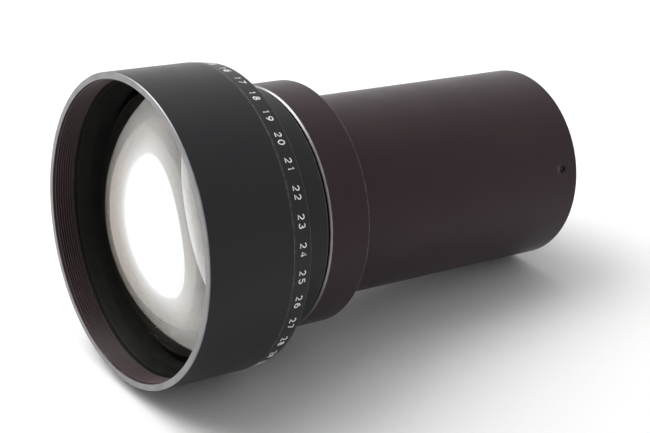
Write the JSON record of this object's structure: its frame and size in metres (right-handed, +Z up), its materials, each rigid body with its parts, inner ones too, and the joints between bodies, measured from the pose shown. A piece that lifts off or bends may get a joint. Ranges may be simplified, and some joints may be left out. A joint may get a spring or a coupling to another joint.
{
  "type": "projection lens",
  "caption": "Large fast projection lens with a wide black hood and front glass, a marked band, a seating collar and a plain brown-black barrel that a projector's holder clamps.",
  "frame": {"origin": "on the optical axis, in the plane of the collar's rear shoulder, where the lens stops against a projector's holder", "axes": "+Y along the optical axis from the front glass to the rear, +Z up as the lens lies in its holder, +X to its side; the front rim faces -Y"},
  "size_m": [0.118, 0.1927, 0.118],
  "materials": {
    "satin_black": "satin neutral black anodising over turned aluminium",
    "band_black": "deeper black anodising with fine white filled figures",
    "brown_black": "black anodising that has aged to a purple brown",
    "deep_black": "matt black inner parts and rings",
    "shim_brass": "blackened brass shim at the bottom of the parting groove",
    "screw_steel": "darkened steel slotted set screws",
    "coated_glass": "polished optical glass with a thin anti-reflection coating and ground black edges"
  },
  "bodies": {
    "barrel": {"seating_collar": "brown_black", "seating_shim": "shim_brass", "barrel_tube": "brown_black", "stop_retaining_ring": "deep_black", "aperture_stop": "deep_black", "rear_cell": "deep_black", "flint_element_rear": "coated_glass", "crown_element_rear": "coated_glass", "rear_spacer": "deep_black", "rear_element": "coated_glass", "rear_retaining_ring": "deep_black", "rear_lock_ring": "deep_black", "rear_baffle_ring": "deep_black", "baffle_screws": "screw_steel"},
    "front_unit": {"hood": "satin_black", "front_retaining_ring": "deep_black", "front_element": "coated_glass", "marking_ring": "band_black", "front_cell": "satin_black", "doublet_retaining_ring": "deep_black", "crown_element_front": "coated_glass", "flint_element_front": "coated_glass", "front_baffle": "deep_black"}
  },
  "joints": [
    {"name": "front_unit_unscrews", "type": "slide", "parent": "barrel", "child": "front_unit", "axis": [0, -1, 0], "range_m": [0, 0.009]}
  ]
}
